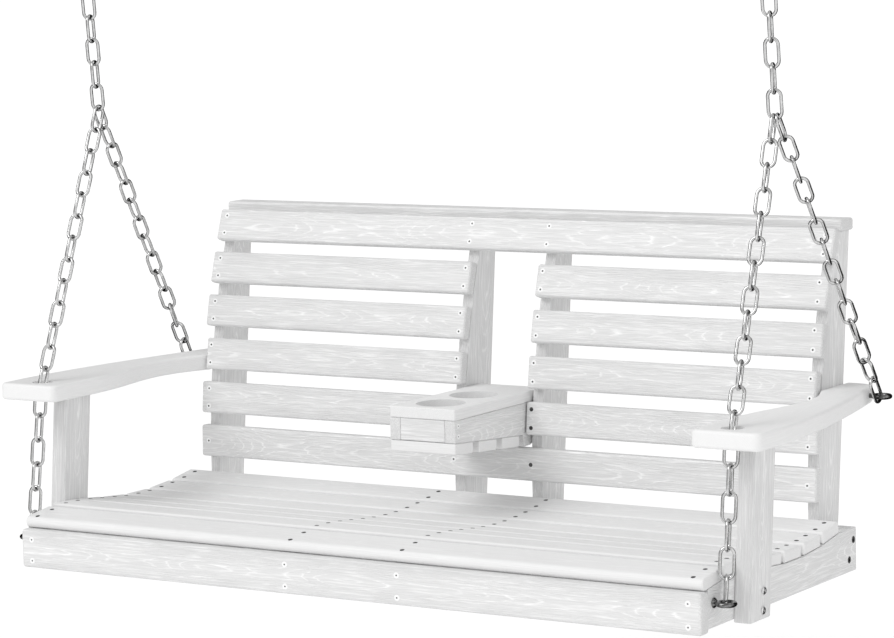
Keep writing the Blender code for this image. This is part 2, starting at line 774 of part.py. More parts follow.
def add_eye_bolt(name, sign, centre, through_x, material, bench):
    """A ring lying level outside the board, with its shank, washer and nut."""
    x, y, z = centre
    builder = bmesh.new()
    steps = 12
    loop = []
    for i in range(steps):
        angle = 2 * math.pi * (i + 0.5) / steps
        offset = Vector((math.cos(angle), math.sin(angle), 0.0)) * EYE_RING_R
        loop.append(Vector((sign * x, y, z)) + offset)
    add_ring_of_wire(builder, loop, EYE_WIRE_R, sides=6)
    ring = add_object(name, builder, material, bench, smooth=True)
    shank_end = through_x - EYE_WASHER_T - EYE_NUT_T - 2 * GAP
    profile = [
        (EYE_WIRE_R, x - EYE_RING_R + 0.001),
        (EYE_WIRE_R, through_x - GAP),
        (EYE_WASHER_R, through_x - GAP),
        (EYE_WASHER_R, through_x - GAP - EYE_WASHER_T),
        (EYE_NUT_R, through_x - GAP - EYE_WASHER_T),
        (EYE_NUT_R, shank_end),
        (EYE_WIRE_R, shank_end),
        (EYE_WIRE_R, shank_end - 0.004),
    ]
    shank = turned("join_" + name, profile, sign, (y, z), material, bench)
    boolean(ring, shank, "UNION")


def bearing(eye, toward, pulled_from):
    """Where a link bears on a level eye: on the side away from the pull."""
    wire_centre = eye + toward.normalized() * EYE_RING_R
    return wire_centre - (pulled_from - wire_centre).normalized() * EYE_WIRE_R


def add_chains(bench, ceiling):
    zinc = steel("chain_steel")
    eye_steel = steel("eye_bolt_steel", DARK_STEEL)
    hook_steel = steel("hook_steel")
    hanger_steel = steel("hanger_steel")
    x_axis = Vector((1, 0, 0))
    y_axis = Vector((0, 1, 0))
    clearance = 0.0004
    for side, sign in (("left", -1), ("right", 1)):

        def mirrored(x, y, z):
            return Vector((sign * x, y, z))

        junction = mirrored(CHAIN_X, CHAIN_Y, JUNCTION_Z)
        top = junction + Vector((0, 0, MAIN_LINKS * MAIN_PITCH))
        main_run = run_of_links([(junction, top, MAIN_LINKS)], x_axis, UPPER_TURNS)
        add_chain("chain_upper_" + side, main_run, zinc, ceiling)

        front_turns = FRONT_TURNS[side]
        front_start = junction - mirrored(LEG_SIDE_STEP, 0, 0)
        kink = mirrored(*KINK)
        last_link = FRONT_LINKS_ABOVE + FRONT_LINKS_BELOW - 1
        toward = Matrix.Rotation(turn_at(front_turns, last_link), 3, "Z") @ y_axis
        front_end = bearing(mirrored(*FRONT_EYE), toward, kink)
        front_run = run_of_links(
            [(front_start, kink, FRONT_LINKS_ABOVE), (kink, front_end, FRONT_LINKS_BELOW)],
            y_axis,
            front_turns,
        )
        add_chain("chain_front_" + side, front_run, zinc, bench, clearance, clearance)

        rear_start = junction + mirrored(LEG_SIDE_STEP, 0, 0)
        rear_end = bearing(mirrored(*REAR_EYE), -y_axis, rear_start)
        rear_run = run_of_links([(rear_start, rear_end, REAR_LINKS)], y_axis, REAR_TURNS[side])
        add_chain("chain_rear_" + side, rear_run, zinc, bench, clearance, clearance)

        add_eye_bolt("eye_bolt_front_" + side, sign, FRONT_EYE, RAIL_INNER_X, eye_steel, bench)
        inner_face = UPRIGHT_OUTER_X - UPRIGHT_T
        add_eye_bolt("eye_bolt_rear_" + side, sign, REAR_EYE, inner_face, eye_steel, bench)

        hook_low = top - Vector((0, 0, clearance))
        hook_high = hook_low + Vector((0, 0, HOOK_PITCH))
        builder = bmesh.new()
        loop = link_loop(hook_low, hook_high, y_axis, HOOK_W, HOOK_WIRE_R, 0.0)
        add_ring_of_wire(builder, loop, HOOK_WIRE_R, sides=8)
        add_object("snap_hook_" + side, builder, hook_steel, ceiling, smooth=True)

        add_hanger(side, hook_high, hanger_steel, ceiling, clearance)


def add_hanger(side, hook_high, material, ceiling, clearance):
    """A ceiling plate with two screw holes and an eye whose lowest stretch runs along x."""
    length, width, thickness = HANGER_PLATE
    centre_x = hook_high.x
    plate = box(
        "hanger_" + side,
        (centre_x - length / 2, CHAIN_Y - width / 2, CEILING_Z - thickness),
        (centre_x + length / 2, CHAIN_Y + width / 2, CEILING_Z),
        material,
        ceiling,
    )
    half = HANGER_EYE_W / 2 - HANGER_WIRE_R
    bow_z = hook_high.z - clearance - HANGER_WIRE_R + half * math.cos(math.radians(30))
    top_z = CEILING_Z - thickness + 0.0005
    loop = []
    for x, z in arc_points((centre_x, bow_z), half, 180, 360, 3):
        loop.append(Vector((x, CHAIN_Y, z)))
    loop.append(Vector((centre_x + half, CHAIN_Y, top_z)))
    loop.append(Vector((centre_x - half, CHAIN_Y, top_z)))
    builder = bmesh.new()
    add_ring_of_wire(builder, loop, HANGER_WIRE_R, sides=8)
    boolean(plate, add_object("join_hanger_" + side, builder, material, ceiling, smooth=True), "UNION")
    for end in (-1, 1):
        place = (centre_x + end * HANGER_HOLE_X, CHAIN_Y, CEILING_Z)
        label = f"cut_hanger_{side}_{'low' if end < 0 else 'high'}"
        drill(plate, label, HANGER_HOLE_R, 0.03, "Z", place, material, ceiling, sides=16)


def add_post_bolts(bench):
    material = steel("bolt_steel")
    for side, sign in (("left", -1), ("right", 1)):
        for label, (y, z) in zip(("lower", "upper"), POST_BOLTS):
            head = POST_INNER_X + POST_T + GAP
            profile = [
                (0.0040, head + 0.0032),
                (POST_HEAD_R, head + 0.0012),
                (POST_HEAD_R, head),
                (POST_BOLT_R, head),
                (POST_BOLT_R, RAIL_INNER_X - GAP),
                (POST_NUT_R, RAIL_INNER_X - GAP),
                (POST_NUT_R, RAIL_INNER_X - 0.006),
            ]
            turned(f"post_bolt_{side}_{label}", profile, sign, (y, z), material, bench)


def add_frame(name, location, parent=None, turn=0.0):
    frame = bpy.data.objects.new(name, None)
    bpy.context.scene.collection.objects.link(frame)
    frame.parent = parent
    frame.location = location
    frame.rotation_euler = (turn, 0.0, 0.0)
    return frame


def build():
    clear_scene()
    bearing_z = JUNCTION_Z - WIRE_R
    ceiling = add_frame("ceiling_frame", (0.0, -CHAIN_Y, -CEILING_Z))
    junctions = add_frame("junction_line", (0.0, 0.0, bearing_z - CEILING_Z), turn=-RECLINE)
    bench = add_frame("bench_frame", (0.0, -CHAIN_Y, -bearing_z), parent=junctions)
    add_seat(bench)
    add_uprights(bench)
    add_back(bench)
    add_arms(bench)
    add_console(bench)
    add_chains(bench, ceiling)
    add_post_bolts(bench)


build()
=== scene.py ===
"""Looks of the porch swing: white embossed lumber boards, screws, zinc chains and hardware."""

import json
import math
import random

import bmesh
import bpy
from mathutils import Matrix, Vector


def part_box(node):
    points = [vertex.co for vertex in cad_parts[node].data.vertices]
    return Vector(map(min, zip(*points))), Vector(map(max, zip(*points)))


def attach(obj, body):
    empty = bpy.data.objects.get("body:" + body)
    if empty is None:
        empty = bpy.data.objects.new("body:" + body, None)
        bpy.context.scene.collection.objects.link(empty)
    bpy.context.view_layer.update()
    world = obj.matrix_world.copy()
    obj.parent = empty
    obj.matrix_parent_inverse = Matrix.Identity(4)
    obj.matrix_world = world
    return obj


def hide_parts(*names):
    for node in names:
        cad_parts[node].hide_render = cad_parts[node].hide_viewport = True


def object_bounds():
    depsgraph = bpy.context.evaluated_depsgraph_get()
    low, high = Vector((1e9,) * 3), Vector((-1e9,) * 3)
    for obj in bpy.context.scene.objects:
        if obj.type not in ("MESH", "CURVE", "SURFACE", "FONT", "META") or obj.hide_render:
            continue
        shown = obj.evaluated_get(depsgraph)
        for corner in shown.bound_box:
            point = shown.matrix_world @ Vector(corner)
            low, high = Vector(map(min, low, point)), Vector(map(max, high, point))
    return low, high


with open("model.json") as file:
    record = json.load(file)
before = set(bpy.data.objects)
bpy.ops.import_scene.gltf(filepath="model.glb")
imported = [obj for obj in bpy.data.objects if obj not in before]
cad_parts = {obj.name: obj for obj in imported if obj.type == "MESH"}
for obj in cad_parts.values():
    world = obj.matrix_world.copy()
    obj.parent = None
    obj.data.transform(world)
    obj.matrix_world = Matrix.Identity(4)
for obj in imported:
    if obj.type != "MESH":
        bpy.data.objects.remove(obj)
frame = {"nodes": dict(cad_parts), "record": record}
CAD_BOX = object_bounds()
SIDES = {"left": -1, "right": 1}

# Positions below are in the bench's own coordinates, in metres: x = 0 on the centre line, y = 0 at
# the apron's front face, z = 0 at the rails' bottom edge. BENCH carries them to the part's frame.
RECLINE = math.radians(5.5)

# Chains and eyes. A table of turns lists (link number, degrees about the vertical).
WIRE_R = 0.00255
LINK_W = 0.0252
MAIN_LINKS = 5
MAIN_PITCH = 0.0374
FRONT_LINKS_ABOVE = 13
FRONT_LINKS_BELOW = 6
REAR_LINKS = 14
LEG_SIDE_STEP = 0.0027
JUNCTION = (0.6163, 0.2452, 0.7135)
ROCK_LINE = (0.2452, 0.71115)
KINK = (0.6240, 0.0785, 0.2680)
UPPER_TURNS = ((0, 12),)
FRONT_TURNS = {"left": ((0, 0), (1, 8)), "right": ((0, 12), (15, 12), (18, 32))}
REAR_TURNS = {
    "left": ((0, 0), (1, -19), (9, -19), (13, -90)),
    "right": ((0, 12), (1, 32), (9, 32), (13, 90)),
}
EYE_WIRE_R = 0.00375
EYE_RING_R = 0.01225
FRONT_EYE = (0.6300, 0.0430, 0.0355)
REAR_EYE = (0.6500, 0.5280, 0.2695)

# Boards, and the rows of screws and bolts in them. Levels of the back count from the lowest slat;
# on the lowest two levels, which lie in the console's shade, the screws right of the console get dark
# heads: painted shade.
RAIL_OUTER_X = 0.610
RAIL_INNER_X = 0.5725
RAIL_COLUMN_X = 0.5912
SUPPORT_COLUMN_X = 0.1012
SEAT_CREST = (0.085, 0.0850)
SEAT_DIP = (0.300, 0.0705)
SEAT_REAR_RISE = 0.611
SEAT_SLAT_PITCH = 0.0644
SEAT_REAR_SLAT_Y = 0.428
NARROW_SLATS = 6
SEAT_SCREW_STEP = 0.0155
FRONT_SLAT_REAR = (0.0700, 0.0823)
FRONT_SLAT_SLOPE = 0.13
FRONT_SLAT_SCREWS_Y = (0.0180, 0.0545)
APRON_SCREWS_Z = (0.006, 0.040)
BACK_ARC_R = 1.184
BACK_ARC = (0.446, 0.1008)
BACK_SLAT_PITCH = 0.0742
BACK_LOWEST_ARC = 0.0368
BACK_LEVELS = 6
BACK_SCREW_STEP = 0.015
BACK_COLUMNS_X = (0.0725, 0.562)
CONSOLE_SHADE_LEVELS = (0, 1)
CONSOLE_SCREWS = (0.060, 0.2505, (0.2105, 0.2270))
RAIL_BOLTS = ((0.5065, 0.048), (0.4915, 0.019))
POST_OUTER_X = 0.6386
POST_BOLTS = ((0.1405, 0.0085), (0.1435, 0.0370))
PIVOT = (0.487, 0.2067)
PIVOT_HEAD_X = 0.0407
UPRIGHT_FACE_X = 0.0825
OUTER_UPRIGHT_INNER_X = 0.5532

# Camera, fitted to the bench's proportions
CAMERA_AZIMUTH = 0.5600123
CAMERA_ELEVATION = 0.1183576
CAMERA_ROLL = -0.0237366
CAMERA_FROM_APRON = Vector((2.82635, -4.18725, 1.01662))
CAMERA_FOCAL_WIDTHS = 3.8127404922
SENSOR = 36.0

# Studio: a sun is the way its light travels, its strength and its spread in degrees
WORLD_STRENGTH = 0.67
KEY = ((0.36, 0.55, -0.76), 1.12, 35)
FILL = ((-0.90, 0.30, -0.30), 0.36, 60)
FLOOR_HALF = 60
FLOOR_DROP = 0.42
FLOOR_ALBEDO = 0.80
FLOOR_GLOW = 0.28
FLAG_RADIUS = 4.0
FLAG_HALF_ANGLE = math.radians(100)
FLAG_HALF_HEIGHT = 2.4
FLAG_PANELS = 24
FLAG_SHEET_HALF = 6.0
FLAG_SHEET_LIFT = 0.002
FLAG_FRONT_Y = -0.30

RANDOM = random.Random(12)
ROCK = next(j for j in frame["record"]["behaviour"]["joints"] if j["name"] == "bench_rock")
ROCK_Z = ROCK["pos_m"][2]
JUNCTION_LINE = Matrix.Translation((0.0, 0.0, ROCK_Z)) @ Matrix.Rotation(-RECLINE, 4, "X")
BENCH = JUNCTION_LINE @ Matrix.Translation((0.0, -ROCK_LINE[0], -ROCK_LINE[1]))
BENCH_UP = BENCH.to_3x3() @ Vector((0, 0, 1))


def on_bench(x, y, z):
    return BENCH @ Vector((x, y, z))


def bench_direction(x, y, z):
    return (BENCH.to_3x3() @ Vector((x, y, z))).normalized()


# ---------------------------------------------------------------- node helpers


def grey(level):
    return (level, level, level, 1.0)


class Tree:
    """Short calls for building one material's nodes."""

    def __init__(self, name):
        self.material = bpy.data.materials.new(name)
        self.material.use_nodes = True
        self.nodes = self.material.node_tree.nodes
        self.links = self.material.node_tree.links
        self.shader = self.nodes["Principled BSDF"]

    def feed(self, socket, value):
        if isinstance(value, bpy.types.NodeSocket):
            self.links.new(value, socket)
        else:
            socket.default_value = value

    def math(self, operation, a, b=0.0, c=0.0, clamp=False):
        node = self.nodes.new("ShaderNodeMath")
        node.operation = operation
        node.use_clamp = clamp
        for socket, value in zip(node.inputs, (a, b, c)):
            self.feed(socket, value)
        return node.outputs[0]

    def vector(self, x, y, z):
        node = self.nodes.new("ShaderNodeCombineXYZ")
        for socket, value in zip(node.inputs, (x, y, z)):
            self.feed(socket, value)
        return node.outputs[0]

    def noise(self, vector, scale, detail, roughness=0.5):
        node = self.nodes.new("ShaderNodeTexNoise")
        self.feed(node.inputs["Vector"], vector)
        node.inputs["Scale"].default_value = scale
        node.inputs["Detail"].default_value = detail
        node.inputs["Roughness"].default_value = roughness
        return node.outputs["Fac"]

    def ramp(self, value, stops):
        node = self.nodes.new("ShaderNodeValToRGB")
        elements = node.color_ramp.elements
        while len(elements) < len(stops):
            elements.new(0.5)
        for element, (place, level) in zip(elements, stops):
            element.position = place
            element.color = grey(level)
        self.feed(node.inputs["Fac"], value)
        return node.outputs["Color"]

    def mix(self, factor, a, b):
        """Blends two colours; a number is a grey."""
        node = self.nodes.new("ShaderNodeMix")
        node.data_type = "RGBA"
        self.feed(node.inputs["Factor"], factor)
        for name, value in (("A", a), ("B", b)):
            socket = next(s for s in node.inputs if s.name == name and s.type == "RGBA")
            self.feed(socket, grey(value) if isinstance(value, float) else value)
        return next(s for s in node.outputs if s.type == "RGBA")

    def bump(self, height, strength, distance):
        node = self.nodes.new("ShaderNodeBump")
        node.inputs["Strength"].default_value = strength
        node.inputs["Distance"].default_value = distance
        self.feed(node.inputs["Height"], height)
        self.feed(self.shader.inputs["Normal"], node.outputs["Normal"])

    def attribute(self, name):
        node = self.nodes.new("ShaderNodeAttribute")
        node.attribute_name = name
        split = self.nodes.new("ShaderNodeSeparateXYZ")
        self.links.new(node.outputs["Vector"], split.inputs[0])
        return split.outputs


# ---------------------------------------------------------------- materials


def board_material(name, relief, low, high, ring=0.0019, contrast=1.0):
    """White plastic lumber: growth rings cut flat-sawn, embossed as fine ridges along the board."""
    tree = Tree(name)
    along, across, depth = tree.attribute("grain")

    # The pith wanders below the face and from side to side, so the rings open out into arches.
    drift = tree.noise(tree.vector(along, 0.0, 0.0), scale=2.4, detail=1.0)
    pith = tree.math("MULTIPLY_ADD", drift, 0.060, 0.002)
    slow_place = tree.vector(tree.math("MULTIPLY", along, 0.16), across, depth)
    slow = tree.noise(slow_place, scale=17.0, detail=2.0)
    shifted = tree.math("MULTIPLY_ADD", slow, 0.012, tree.math("SUBTRACT", across, 0.006))
    below = tree.math("ADD", pith, depth)
    radius = tree.math(
        "SQRT", tree.math("ADD", tree.math("POWER", shifted, 2.0), tree.math("POWER", below, 2.0))
    )

    # Each ring, a little ragged, stands up as one sharp ridge.
    ragged_place = tree.vector(tree.math("MULTIPLY", along, 0.10), across, depth)
    ragged = tree.noise(ragged_place, scale=230.0, detail=2.0)
    ragged_radius = tree.math("MULTIPLY_ADD", ragged, 0.0016, radius)
    phase = tree.math("FRACT", tree.math("DIVIDE", ragged_radius, ring))
    ridge = tree.ramp(phase, ((0.0, 1.0), (0.13, 0.12), (0.40, 0.0), (0.87, 0.05), (1.0, 1.0)))

    # Fibres and streaks run along the board, and streaks show most where the ridges fade.
    fibre_place = tree.vector(tree.math("MULTIPLY", along, 0.022), across, depth)
    fibre = tree.noise(fibre_place, scale=900.0, detail=3.0, roughness=0.65)
    streak = tree.noise(fibre_place, scale=300.0, detail=2.0)
    line = tree.ramp(streak, ((0.44, 0.0), (0.50, 1.0), (0.56, 0.0)))
    patch = tree.noise(tree.vector(along, across, depth), scale=14.0, detail=2.0)
    strength = tree.ramp(patch, ((0.32, 0.25), (0.62, 1.0)))
    weak = tree.ramp(patch, ((0.38, 1.0), (0.70, 0.35)))
    raised = tree.math("MULTIPLY", tree.math("MULTIPLY", ridge, strength), contrast)
    lines = tree.math("MULTIPLY", tree.math("MULTIPLY", line, weak), contrast)

    height = tree.math("MULTIPLY_ADD", lines, 0.5, raised)
    tone = tree.math("MULTIPLY_ADD", lines, 0.52, tree.math("MULTIPLY", raised, 0.68))
    tone = tree.math("MULTIPLY_ADD", fibre, 0.62, tree.math("SUBTRACT", tone, 0.12), clamp=True)
    tree.feed(tree.shader.inputs["Base Color"], tree.mix(tone, low, high))
    rough = tree.math("MULTIPLY_ADD", fibre, 0.16, 0.42)
    tree.feed(tree.shader.inputs["Roughness"], rough)
    tree.shader.inputs["Specular IOR Level"].default_value = 0.38
    tree.bump(height, relief, 0.0007)
    return tree.material


def metal_material(name, dark, light, rough, grime, metallic=1.0):
    """Zinc-plated steel: cloudy plating, fine scratches, and painted shade where one piece bears on
    another.
    """
    tree = Tree(name)
    place = tree.attribute("spot")
    # Painted shade: darkening where pieces bear on each other, read from a point attribute.
    painted_contact_shade = tree.attribute("contact_shade")[0]
    here = tree.vector(*place)
    cloud = tree.noise(here, scale=240.0, detail=3.0)
    spangle = tree.noise(here, scale=1100.0, detail=2.0)
    patch = tree.noise(here, scale=55.0, detail=2.0)
    tone = tree.math("MULTIPLY_ADD", cloud, 0.8, tree.math("MULTIPLY", spangle, 0.2))
    tone = tree.ramp(tone, ((0.32, 0.0), (0.68, 1.0)))
    plating = tree.mix(tone, dark, light)
    dull = tree.math("MULTIPLY", tree.ramp(patch, ((0.45, 0.0), (0.75, 1.0))), grime)
    # Grime patches and the painted contact shade, whichever is stronger, pull the colour dark.
    grime_and_contact_shade = tree.math("MAXIMUM", dull, painted_contact_shade)
    tree.feed(tree.shader.inputs["Base Color"], tree.mix(grime_and_contact_shade, plating, 0.12 * dark))
    tree.shader.inputs["Metallic"].default_value = metallic
    smoothest, roughest = rough
    cloudy = tree.math("MULTIPLY_ADD", cloud, roughest - smoothest, smoothest)
    tree.feed(tree.shader.inputs["Roughness"], cloudy)
    tree.bump(spangle, 0.06, 0.0001)
    return tree.material


MATERIALS = {
    "embossed": board_material("embossed_lumber", relief=0.80, low=0.69, high=1.00),
    "satin": board_material(
        "satin_lumber", relief=0.30, low=0.78, high=0.96, ring=0.0026, contrast=0.50
    ),
    "smooth": board_material(
        "smooth_lumber", relief=0.12, low=0.83, high=0.96, ring=0.0030, contrast=0.35
    ),
    "zinc": metal_material("zinc_chain", dark=0.56, light=0.74, rough=(0.12, 0.20), grime=0.15),
    "eye": metal_material("eye_bolt_zinc", dark=0.07, light=0.32, rough=(0.14, 0.28), grime=0.30),
    "bolt": metal_material("bolt_stainless", dark=0.72, light=0.92, rough=(0.28, 0.42), grime=0.10),
    "dark": metal_material("dark_screw", dark=0.05, light=0.15, rough=(0.35, 0.55), grime=0.30),
    "capped": metal_material(
        "painted_screw", dark=0.93, light=0.98, rough=(0.35, 0.50), grime=0.0, metallic=0.0
    ),
}


# ---------------------------------------------------------------- mesh helpers


# Cleaning a CAD mesh, finding its sawn edges, and shading
MERGE_WITHIN = 0.00002
FLAT_WITHIN = math.radians(1)
SAWN_EDGE = math.radians(30)
SHORTEST_SAWN_EDGE = 0.002
SIDE_FACE_LIMIT = 0.3
FACING_UP = 0.999
BOARD_SMOOTHING = math.radians(35)

# Each board's grain starts somewhere along a long run, a little off the middle
GRAIN_RUN = 400.0
GRAIN_LIFT = 0.006

# Rolled rims of the arms
ARM_RIM_R = 0.0055
ARM_HOLE_RIM_R = 0.0012
ARM_RIM_STEPS = 5
SHARPEST_MITRE = 0.6


def add_object(name, data):
    made = bpy.data.objects.new(name, data)
    bpy.context.scene.collection.objects.link(made)
    return made


def mesh_from(builder, name):
    mesh = bpy.data.meshes.new(name)
    builder.to_mesh(mesh)
    builder.free()
    return mesh


def add_piece(name, mesh, material, body, slot, *replaced):
    piece = add_object(name, mesh)
    mesh.materials.append(MATERIALS[material])
    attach(piece, body)
    if replaced:
        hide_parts(*replaced)
    return piece


def write_points(mesh, name, vectors):
    attribute = mesh.attributes.new(name, "FLOAT_VECTOR", "POINT")
    attribute.data.foreach_set("vector", [value for vector in vectors for value in vector])


def cad_copy(node):
    """A working copy of a CAD node, with its doubled corners merged."""
    builder = bmesh.new()
    builder.from_mesh(frame["nodes"][node].data)
    bmesh.ops.remove_doubles(builder, verts=builder.verts, dist=MERGE_WITHIN)
    return builder


def whole_faces(builder):
    """Joins the triangles of each flat face."""
    bmesh.ops.dissolve_limit(
        builder, angle_limit=FLAT_WITHIN, verts=builder.verts, edges=builder.edges
    )


def round_edges(builder, edges, width, segments, clamped=False):
    bmesh.ops.bevel(
        builder, geom=edges, offset=width, segments=segments, profile=0.5, affect="EDGES",
        clamp_overlap=clamped,
    )


def board_axes(builder):
    """Directions along, across and through a board, from its longest edge and its broadest face."""
    longest = max(builder.edges, key=lambda edge: edge.calc_length())
    along = (longest.verts[1].co - longest.verts[0].co).normalized()
    sides = [face for face in builder.faces if abs(face.normal.dot(along)) < SIDE_FACE_LIMIT]
    through = max(sides, key=lambda face: face.calc_area()).normal.copy()
    through = (through - along * through.dot(along)).normalized()
    return along, through.cross(along).normalized(), through


def refined(node, material, body, slot, width, segments):
    """The CAD board with its sawn edges rounded."""
    builder = cad_copy(node)
    whole_faces(builder)
    bmesh.ops.recalc_face_normals(builder, faces=builder.faces)
    axes = board_axes(builder)
    sharp = [
        edge
        for edge in builder.edges
        if edge.is_manifold
        and edge.calc_face_angle(0.0) > SAWN_EDGE
        and edge.calc_length() > SHORTEST_SAWN_EDGE
    ]
    round_edges(builder, sharp, width, segments, clamped=True)
    finish_board(builder, node, material, body, slot, axes)


def finish_board(builder, node, material, body, slot, axes):
    """Ends a board: its own run of grain, and flat faces that stay flat between rounded edges."""
    mesh = mesh_from(builder, "board_" + node)
    along, across, through = axes
    low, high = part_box(node)
    middle = (low + high) / 2
    start = RANDOM.uniform(0.0, GRAIN_RUN)
    lift = RANDOM.uniform(-GRAIN_LIFT, GRAIN_LIFT)
    points = []
    for vertex in mesh.vertices:
        offset = vertex.co - middle
        points.append((start + offset.dot(along), offset.dot(across) + lift, offset.dot(through)))
    write_points(mesh, "grain", points)
    mesh.shade_smooth()
    mesh.set_sharp_from_angle(angle=BOARD_SMOOTHING)
    piece = add_piece("board_" + node, mesh, material, body, slot, node)
    normals = piece.modifiers.new("Flat faces", "WEIGHTED_NORMAL")
    normals.keep_sharp = True


def finish_metal(builder, name, material, body, slot, *replaced, sharp=38, contact_shade=None):
    """Ends a metal piece. The optional function tells how much painted shade a point gets where pieces
    bear on each other, from 0 to 1.
    """
    bmesh.ops.recalc_face_normals(builder, faces=builder.faces)
    mesh = mesh_from(builder, name)
    write_points(mesh, "spot", [vertex.co for vertex in mesh.vertices])
    # How much painted shade each point gets at the contacts.
    shade_amounts = [contact_shade(vertex.co) if contact_shade else 0.0 for vertex in mesh.vertices]
    write_points(mesh, "contact_shade", [(value, 0.0, 0.0) for value in shade_amounts])
    mesh.shade_smooth()
    mesh.set_sharp_from_angle(angle=math.radians(sharp))
    add_piece(name, mesh, material, body, slot, *replaced)


def tube_loop(builder, path, wire_r, sides, normal):
    """A closed tube along a flat closed loop of points."""
    count = len(path)
    rings = []
    for i, point in enumerate(path):
        tangent = (path[(i + 1) % count] - path[i - 1]).normalized()
        outward = tangent.cross(normal).normalized()
        ring = []
        for k in range(sides):
            angle = 2 * math.pi * k / sides
            offset = outward * math.cos(angle) + normal * math.sin(angle)
            ring.append(builder.verts.new(point + offset * wire_r))
        rings.append(ring)
    for i in range(count):
        ring, following = rings[i], rings[(i + 1) % count]
        for k in range(sides):
            after = (k + 1) % sides
            builder.faces.new((ring[k], ring[after], following[after], following[k]))


def turned(builder, profile, origin, axis, sides=24):
    """A solid turned about a line; profile lists (radius, distance along the axis)."""
    axis = axis.normalized()
    side = axis.orthogonal().normalized()
    other = axis.cross(side)
    rings = []
    for radius, distance in profile:
        ring = []
        for k in range(sides):
            angle = 2 * math.pi * k / sides
            offset = side * math.cos(angle) + other * math.sin(angle)
            ring.append(builder.verts.new(origin + axis * distance + offset * radius))
        rings.append(ring)
    for lower, upper in zip(rings, rings[1:]):
        for k in range(sides):
            after = (k + 1) % sides
            builder.faces.new((lower[k], lower[after], upper[after], upper[k]))
    builder.faces.new(rings[0])
    builder.faces.new(rings[-1])


def ordered_loops(edges):
    """Splits boundary edges into closed runs of vertices."""
    follow = {}
    for edge in edges:
        for vertex in edge.verts:
            follow.setdefault(vertex, []).append(edge.other_vert(vertex))
    loops = []
    while follow:
        start, (here, _) = next(iter(follow.items()))
        loop = [start]
        previous = start
        while here is not start:
            loop.append(here)
            ahead = follow[here]
            previous, here = here, ahead[0] if ahead[1] is previous else ahead[1]
        for vertex in loop:
            del follow[vertex]
        loops.append(loop)
    return loops


def inward_offsets(points, up):
    """Steps in the plate's plane that move each point into the material, and twice the loop's area."""
    count = len(points)
    area = sum((points[i - 1].cross(points[i])).dot(up) for i in range(count))
    offsets = []
    for i, point in enumerate(points):
        before = up.cross(point - points[i - 1]).normalized()
        after = up.cross(points[(i + 1) % count] - point).normalized()
        middle = (before + after).normalized()
        offsets.append(middle / max(middle.dot(before), SHARPEST_MITRE))
    return offsets, area


def rounded_arm(node):
    """The CAD's flat arm with its upper and lower rims rolled over."""
    source = cad_copy(node)
    bmesh.ops.recalc_face_normals(source, faces=source.faces)
    up = BENCH_UP
    tops = {face for face in source.faces if face.normal.dot(up) > FACING_UP}
    rims = [edge for edge in source.edges if len(tops.intersection(edge.link_faces)) == 1]
    heights = [vertex.co.dot(up) for vertex in source.verts]
    thickness = max(heights) - min(heights)
    loops = [[vertex.co.copy() for vertex in loop] for loop in ordered_loops(rims)]
    source.free()
    loops.sort(key=len, reverse=True)
    outer = max(loops, key=lambda loop: max((a - loop[0]).length for a in loop))
    builder = bmesh.new()
    cap_edges = ([], [])
    for loop in loops:
        offsets, area = inward_offsets(loop, up)
        if (area > 0) != (loop is outer):
            loop.reverse()
            offsets, area = inward_offsets(loop, up)
        roll = ARM_RIM_R if loop is outer else ARM_HOLE_RIM_R
        levels = []
        for k in range(ARM_RIM_STEPS + 1):
            angle = math.pi / 2 * k / ARM_RIM_STEPS
            levels.append((roll * (1 - math.sin(angle)), roll * (1 - math.cos(angle)) - thickness))
        levels += [(inset, -thickness - height) for inset, height in reversed(levels)]
        rings = []
        for inset, height in levels:
            rings.append(
                [
                    builder.verts.new(point + offset * inset + up * height)
                    for point, offset in zip(loop, offsets)
                ]
            )
        for lower, upper in zip(rings, rings[1:]):
            for k in range(len(loop)):
                after = (k + 1) % len(loop)
                builder.faces.new((lower[k], lower[after], upper[after], upper[k]))
        for edges, ring in zip(cap_edges, (rings[0], rings[-1])):
            for k, vertex in enumerate(ring):
                edges.append(builder.edges.get((vertex, ring[(k + 1) % len(ring)])))
    for edges, direction in zip(cap_edges, (-up, up)):
        bmesh.ops.triangle_fill(builder, use_beauty=True, edges=edges, normal=direction)
    bmesh.ops.recalc_face_normals(builder, faces=builder.faces)
    axes = bench_direction(0, 1, 0), Vector((1, 0, 0)), up
    finish_board(builder, node, "smooth", "bench", "board_plastic", axes)


# ---------------------------------------------------------------- boards


# Grain, width of the rounded edges and steps in it, by the start of a bench board's name
BOARD_LOOKS = {
    "seat_slat_1": ("satin", 0.0006, 2),
    "seat_slat": ("satin", 0.0024, 4),
    "back_slat": ("embossed", 0.0011, 3),
    "back_cap": ("embossed", 0.0011, 3),
    "front_apron": ("embossed", 0.0010, 2),
    "": ("embossed", 0.0007, 2),
}
BENCH_METAL = ("chain", "eye", "post_bolt", "arm_plate", "console_pivot")
CONSOLE_EDGE = (0.0012, 3)
EMBOSSED_CONSOLE = ("console_front", "console_side_left", "console_side_right")


def dress_boards():
    bodies = frame["record"]["behaviour"]["bodies"]
    for node in bodies["bench"]:
        if node.startswith(BENCH_METAL):
            continue
        if node.startswith("arm_") and not node.startswith("arm_post"):
            rounded_arm(node)
            continue
        looks = (look for start, look in BOARD_LOOKS.items() if node.startswith(start))
        grain, width, segments = next(looks)
        refined(node, grain, "bench", "board_plastic", width, segments)
    for node in bodies["console"]:
        grain = "embossed" if node in EMBOSSED_CONSOLE else "satin"
        refined(node, grain, "console", "console_plastic", *CONSOLE_EDGE)


dress_boards()


# ---------------------------------------------------------------- chains


BOW_STEPS = 10
LINK_LEAN = 4

# How far from a bearing point the painted contact shade ends, how far it fades over, and its darkest
LINK_CONTACT_SHADE = (0.0052, 0.0026, 1.0)
EYE_CONTACT_SHADE = (0.0075, 0.003, 0.8)


